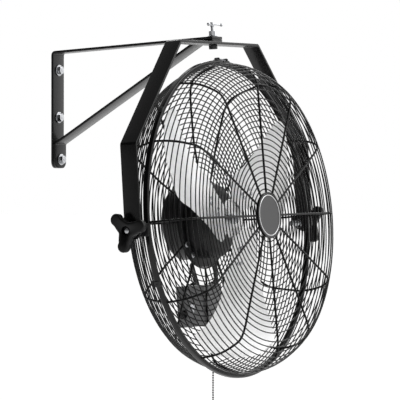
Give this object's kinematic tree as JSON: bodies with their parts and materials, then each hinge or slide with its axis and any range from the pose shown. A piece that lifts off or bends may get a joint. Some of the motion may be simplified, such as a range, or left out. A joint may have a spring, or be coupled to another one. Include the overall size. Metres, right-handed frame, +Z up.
{
  "type": "wall mounted fan",
  "caption": "Wall fan in round wire guards, tilting in a flat-bar yoke that swivels under a braced wall bracket, with a pull chain",
  "frame": {"origin": "middle of the wall strip's back face, on the wall", "axes": "X to the right as seen from the room, +Y into the wall, -Y into the room, +Z up"},
  "size_m": [0.6304, 0.4545, 0.7924],
  "materials": {
    "black_bar": "gloss black powder coat",
    "black_wire": "black powder-coated wire",
    "dark_metal": "dark satin paint",
    "grey_metal": "mid-grey satin paint",
    "zinc": "bright zinc plate",
    "blade_aluminium": "satin aluminium sheet",
    "plain_steel": "machined steel",
    "wound_stator": "varnished windings on a steel stack",
    "black_plastic": "matt black plastic"
  },
  "bodies": {
    "bracket": {"wall_bracket": "black_bar", "brace_bar": "black_bar", "wall_bolt_upper": "zinc", "wall_bolt_middle": "zinc", "wall_bolt_lower": "zinc", "wall_washer_upper": "zinc", "wall_washer_middle": "zinc", "wall_washer_lower": "zinc", "swivel_washer": "zinc"},
    "swivel_handle": {"swivel_screw": "zinc"},
    "tommy_bar": {"tommy_bar": "zinc"},
    "yoke": {"yoke_bar": "black_bar", "swivel_nut": "dark_metal", "friction_spacer_left": "black_plastic", "friction_spacer_right": "black_plastic"},
    "knob_left": {"tilt_knob_left": "black_plastic", "tilt_stud_left": "zinc"},
    "knob_right": {"tilt_knob_right": "black_plastic", "tilt_stud_right": "zinc"},
    "fan": {"clamp_ring": "black_bar", "clamp_screw": "zinc", "front_guard": "black_wire", "rear_guard": "black_wire", "centre_badge": "dark_metal", "motor_plate": "dark_metal", "plate_screw_1": "zinc", "plate_screw_2": "zinc", "plate_screw_3": "zinc", "plate_screw_4": "zinc", "motor_front_shell": "dark_metal", "motor_rear_shell": "dark_metal", "front_bearing": "plain_steel", "rear_bearing": "plain_steel", "stator": "wound_stator", "ear_bracket_left": "dark_metal", "ear_bracket_right": "dark_metal", "tilt_nut_left": "zinc", "tilt_nut_right": "zinc", "rim_clip_upper_left": "dark_metal", "rim_clip_upper_right": "dark_metal", "rim_clip_lower_left": "dark_metal", "rim_clip_lower_right": "dark_metal", "switch_box": "grey_metal", "box_cover": "grey_metal", "box_hanger_left": "dark_metal", "box_hanger_right": "dark_metal", "run_capacitor": "black_plastic", "pull_switch": "zinc", "cord_gland": "black_plastic", "box_plug": "zinc"},
    "rotor": {"rotor_shaft": "plain_steel", "rotor_core": "plain_steel", "blade_hub": "blade_aluminium", "hub_nut": "zinc", "blade_1": "blade_aluminium", "blade_2": "blade_aluminium", "blade_3": "blade_aluminium"},
    "chain": {"pull_chain": "plain_steel", "chain_bell": "zinc"}
  },
  "joints": [
    {"name": "yoke_swivel", "type": "hinge", "parent": "bracket", "child": "yoke", "pos_m": [0, -0.32193, 0.12452], "axis": [0, 0.0645, 0.9979], "range_deg": [-20, 20]},
    {"name": "fan_tilt", "type": "hinge", "parent": "yoke", "child": "fan", "pos_m": [0, -0.34304, -0.202], "axis": [1, 0, 0], "range_deg": [-45, 45]},
    {"name": "blade_spin", "type": "hinge", "parent": "fan", "child": "rotor", "pos_m": [0, -0.3419, -0.18995], "axis": [0, 0.9956, -0.0941], "continuous": true},
    {"name": "left_knob_turn", "type": "hinge", "parent": "yoke", "child": "knob_left", "pos_m": [-0.3, -0.34304, -0.202], "axis": [1, 0, 0], "continuous": true},
    {"name": "right_knob_turn", "type": "hinge", "parent": "yoke", "child": "knob_right", "pos_m": [0.3, -0.34304, -0.202], "axis": [1, 0, 0], "continuous": true},
    {"name": "swivel_screw_turn", "type": "hinge", "parent": "bracket", "child": "swivel_handle", "pos_m": [0, -0.32193, 0.12452], "axis": [0, 0.0645, 0.9979], "continuous": true},
    {"name": "tommy_bar_slide", "type": "slide", "parent": "swivel_handle", "child": "tommy_bar", "axis": [1, 0, 0], "range_m": [-0.024, 0.005]},
    {"name": "chain_pull", "type": "slide", "parent": "fan", "child": "chain", "axis": [0, 0, -1], "range_m": [0, 0.008], "stiffness_N_per_m": 400}
  ]
}
